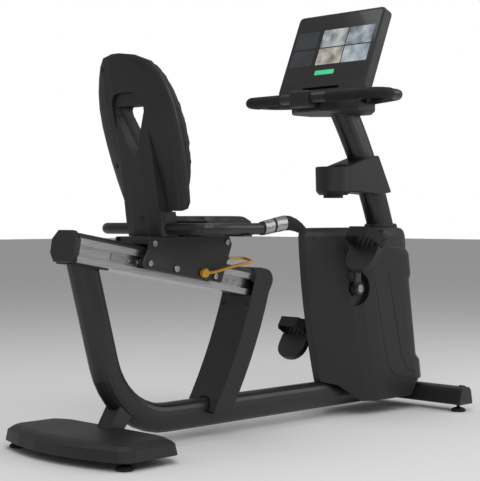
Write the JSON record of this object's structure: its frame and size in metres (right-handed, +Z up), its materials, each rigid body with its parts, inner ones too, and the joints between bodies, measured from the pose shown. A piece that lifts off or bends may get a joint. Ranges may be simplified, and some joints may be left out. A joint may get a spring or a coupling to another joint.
{
  "type": "recumbent exercise bike",
  "caption": "Recumbent exercise bike with a seat on a sloping rail, a covered flywheel drive, pedals with straps, a bottle cup and a screen on a mast.",
  "frame": {"origin": "on the floor, at the middle of the bike's length and width", "axes": "+X the way the rider faces, +Y to the rider's left, +Z up"},
  "size_m": [1.5932, 0.6122, 1.3517],
  "materials": {
    "black_plastic": "satin moulded plastic",
    "black_paint": "satin powder coat",
    "black_rubber": "matte",
    "black_vinyl": "fine grained vinyl",
    "aluminium": "drawn, satin",
    "steel": "brushed",
    "cast_iron": "machined rim",
    "orange_plastic": "plastic-coated rod",
    "screen_glass": "gloss, dark"
  },
  "bodies": {
    "frame": {"main_frame": "black_paint", "rear_stabilizer": "black_paint", "rear_stabilizer_cover": "black_plastic", "front_stabilizer": "black_paint", "end_cap_right": "black_plastic", "end_cap_left": "black_plastic", "seat_post": "black_paint", "seat_post_cover": "black_plastic", "seat_post_panel": "black_plastic", "seat_rail": "aluminium", "rail_top_cover": "black_plastic", "rail_end_cap": "black_plastic", "index_rack": "steel", "shroud_right": "black_plastic", "shroud_left": "black_plastic", "shroud_nose": "black_plastic", "shroud_top": "black_plastic", "drive_frame": "black_paint", "crank_bearing": "steel", "drive_belt": "black_rubber", "brake_motor": "black_plastic", "console_mast": "black_paint", "bottle_holder": "black_plastic", "console_tray": "black_plastic", "console_handlebar": "black_paint", "display_housing": "black_plastic", "display_glass": "screen_glass"},
    "carriage": {"carriage_frame": "black_paint", "carriage_plate_right": "black_paint", "carriage_plate_left": "black_paint", "seat_handlebar": "black_paint", "hand_grip_right": "black_rubber", "hand_grip_left": "black_rubber", "seat_column": "black_plastic", "back_shell": "black_plastic", "back_pad": "black_vinyl", "seat_pan": "black_plastic", "seat_cushion": "black_vinyl"},
    "roller_1": {"roller_rear_right": "black_plastic"},
    "roller_2": {"roller_rear_left": "black_plastic"},
    "roller_3": {"roller_front_right": "black_plastic"},
    "roller_4": {"roller_front_left": "black_plastic"},
    "lever": {"adjust_lever": "orange_plastic"},
    "pin": {"lock_pin": "steel"},
    "crank": {"crank_axle": "steel", "drive_pulley": "black_plastic", "crank_arm_right": "black_paint", "crank_arm_left": "black_paint"},
    "right_pedal": {"pedal_right": "black_plastic", "pedal_strap_right": "black_rubber"},
    "left_pedal": {"pedal_left": "black_plastic", "pedal_strap_left": "black_rubber"},
    "flywheel_set": {"flywheel": "cast_iron"},
    "brake": {"brake_yoke": "steel"},
    "foot_1": {"rear_foot_right": "black_rubber"},
    "foot_2": {"rear_foot_left": "black_rubber"},
    "foot_3": {"front_foot_right": "black_rubber"},
    "foot_4": {"front_foot_left": "black_rubber"},
    "wheel_1": {"transport_wheel_right": "black_rubber"},
    "wheel_2": {"transport_wheel_left": "black_rubber"}
  },
  "joints": [
    {"name": "seat_slide", "type": "slide", "parent": "frame", "child": "carriage", "axis": [0.9848, 0, -0.1736], "range_m": [-0.18, 0.06]},
    {"name": "roller_1_spin", "type": "hinge", "parent": "carriage", "child": "roller_1", "pos_m": [-0.48711, 0, 0.53166], "axis": [0, 1, 0], "continuous": true},
    {"name": "roller_2_spin", "type": "hinge", "parent": "carriage", "child": "roller_2", "pos_m": [-0.48711, 0, 0.53166], "axis": [0, 1, 0], "continuous": true},
    {"name": "roller_3_spin", "type": "hinge", "parent": "carriage", "child": "roller_3", "pos_m": [-0.23205, 0, 0.48668], "axis": [0, 1, 0], "continuous": true},
    {"name": "roller_4_spin", "type": "hinge", "parent": "carriage", "child": "roller_4", "pos_m": [-0.23205, 0, 0.48668], "axis": [0, 1, 0], "continuous": true},
    {"name": "lever_lift", "type": "hinge", "parent": "carriage", "child": "lever", "pos_m": [-0.28077, 0, 0.49832], "axis": [0, -1, 0], "range_deg": [0, 12], "stiffness_Nm_per_rad": 0.6, "springref_deg": -14.32},
    {"name": "pin_pull", "type": "slide", "parent": "carriage", "child": "pin", "axis": [0, -1, 0], "range_m": [0, 0.0065]},
    {"name": "crank_spin", "type": "hinge", "parent": "frame", "child": "crank", "pos_m": [0.3876, 0, 0.427], "axis": [0, 1, 0], "continuous": true},
    {"name": "right_pedal_spin", "type": "hinge", "parent": "crank", "child": "right_pedal", "pos_m": [0.33936, -0.1945, 0.58479], "axis": [0, 1, 0], "continuous": true},
    {"name": "left_pedal_spin", "type": "hinge", "parent": "crank", "child": "left_pedal", "pos_m": [0.43584, 0.1945, 0.26921], "axis": [0, 1, 0], "continuous": true},
    {"name": "flywheel_spin", "type": "hinge", "parent": "frame", "child": "flywheel_set", "pos_m": [0.5726, 0, 0.285], "axis": [0, 1, 0], "continuous": true},
    {"name": "brake_swing", "type": "hinge", "parent": "frame", "child": "brake", "pos_m": [0.6246, 0, 0.403], "axis": [0, -1, 0], "range_deg": [0, 8]},
    {"name": "foot_1_turn", "type": "hinge", "parent": "frame", "child": "foot_1", "pos_m": [-0.7174, -0.239, 0.02], "axis": [0, 0, 1], "continuous": true},
    {"name": "foot_2_turn", "type": "hinge", "parent": "frame", "child": "foot_2", "pos_m": [-0.7174, 0.239, 0.02], "axis": [0, 0, 1], "continuous": true},
    {"name": "foot_3_turn", "type": "hinge", "parent": "frame", "child": "foot_3", "pos_m": [0.7446, -0.258, 0.02], "axis": [0, 0, 1], "continuous": true},
    {"name": "foot_4_turn", "type": "hinge", "parent": "frame", "child": "foot_4", "pos_m": [0.7446, 0.258, 0.02], "axis": [0, 0, 1], "continuous": true},
    {"name": "wheel_1_spin", "type": "hinge", "parent": "frame", "child": "wheel_1", "pos_m": [0.7706, -0.2535, 0.06], "axis": [0, 1, 0], "continuous": true},
    {"name": "wheel_2_spin", "type": "hinge", "parent": "frame", "child": "wheel_2", "pos_m": [0.7706, 0.2535, 0.06], "axis": [0, 1, 0], "continuous": true}
  ],
  "couplings": [
    {"joint": "roller_1_spin", "follows": "seat_slide", "rad_per_m": 64.516},
    {"joint": "roller_2_spin", "follows": "seat_slide", "rad_per_m": 64.516},
    {"joint": "roller_3_spin", "follows": "seat_slide", "rad_per_m": 64.516},
    {"joint": "roller_4_spin", "follows": "seat_slide", "rad_per_m": 64.516},
    {"joint": "pin_pull", "follows": "lever_lift", "m_per_rad": 0.03},
    {"joint": "flywheel_spin", "follows": "crank_spin", "ratio": 6.0645}
  ]
}
